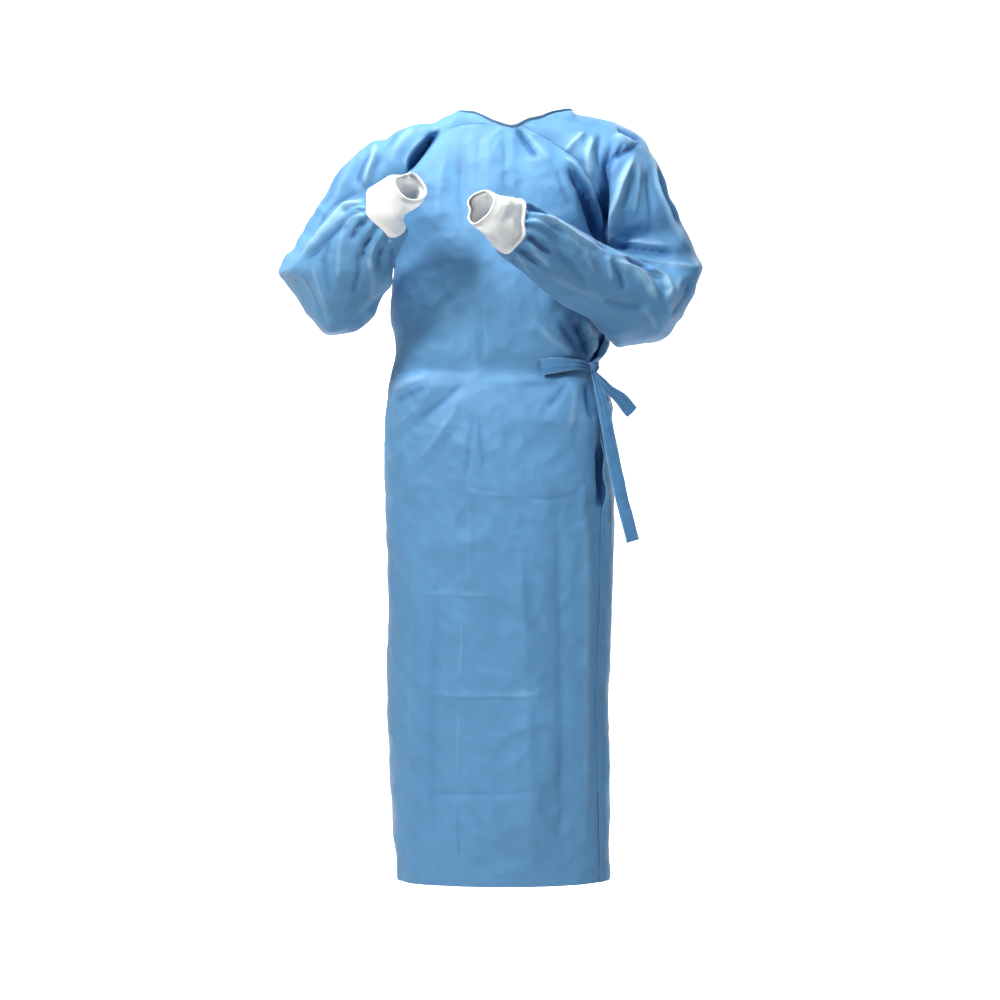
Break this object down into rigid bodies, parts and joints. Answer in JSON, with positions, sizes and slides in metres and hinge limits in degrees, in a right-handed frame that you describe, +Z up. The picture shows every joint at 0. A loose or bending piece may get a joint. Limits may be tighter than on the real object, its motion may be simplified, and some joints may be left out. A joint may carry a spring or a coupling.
{
  "type": "surgical gown",
  "caption": "Wrap-round surgical gown, hollow and held in its worn form, with raglan sleeves raised before the chest, knit cuffs and a waist tie knotted at the side.",
  "frame": {"origin": "in the neck opening, level with the neck's sides, where the wearer's neck holds the gown", "axes": "+Z up, -Y the way the wearer faces, +X to the wearer's left"},
  "size_m": [0.695, 0.5239, 1.2884],
  "materials": {
    "gown_cloth": "matt nonwoven cloth",
    "knit_cuff": "white rib knit",
    "binding_tape": "matt tape of the same cloth"
  },
  "bodies": {
    "root": {"front": "gown_cloth", "back_right": "gown_cloth", "back_left": "gown_cloth", "sleeve_right": "gown_cloth", "sleeve_left": "gown_cloth", "cuff_right": "knit_cuff", "cuff_left": "knit_cuff", "neck_binding": "binding_tape", "tie_knot": "gown_cloth", "tie_end": "gown_cloth", "tie_short": "gown_cloth", "tie_long": "gown_cloth"}
  },
  "joints": []
}
